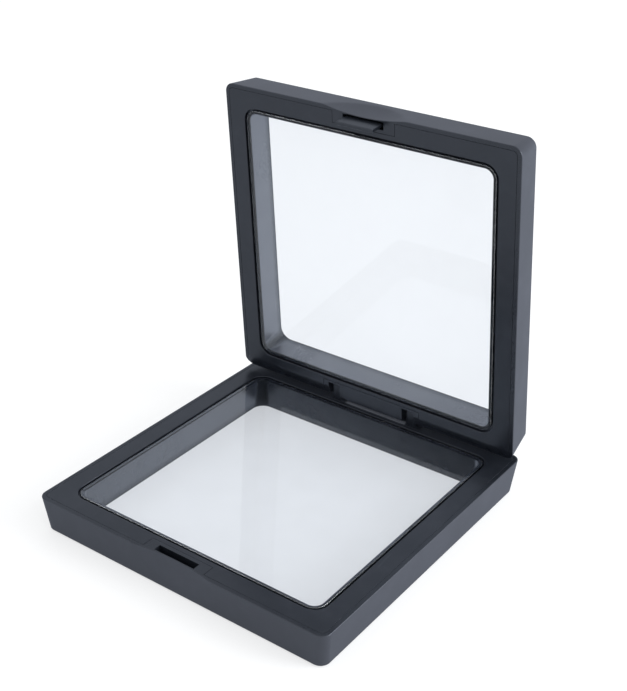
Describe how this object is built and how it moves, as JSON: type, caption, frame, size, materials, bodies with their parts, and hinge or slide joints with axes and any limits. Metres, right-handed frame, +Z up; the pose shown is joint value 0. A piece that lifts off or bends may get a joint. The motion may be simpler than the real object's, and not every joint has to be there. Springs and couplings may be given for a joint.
{
  "type": "pin display case",
  "caption": "Hinged square display case, two black plastic frames with clear elastic films that hold a pin between them, shown open.",
  "frame": {"origin": "centre of the base's underside, in the plane that it stands on", "axes": "+X along the hinge towards the right of the case, +Y from the latch towards the hinge, +Z up; the lid is drawn open"},
  "size_m": [0.09, 0.0945, 0.1008],
  "materials": {
    "black_plastic": "black moulded plastic, fine satin, glossier on the outer walls",
    "ring_plastic": "black moulded plastic, satin",
    "clear_film": "clear elastic film, glossy, stretched taut"
  },
  "bodies": {
    "base": {"base_frame": "black_plastic", "base_clamp_ring": "ring_plastic", "base_film": "clear_film"},
    "lid": {"lid_frame": "black_plastic", "lid_clamp_ring": "ring_plastic", "lid_film": "clear_film"}
  },
  "joints": [
    {"name": "lid_hinge", "type": "hinge", "parent": "base", "child": "lid", "pos_m": [0, 0.0429, 0.0134], "axis": [1, 0, 0], "range_deg": [-24.5, 85.5]}
  ]
}
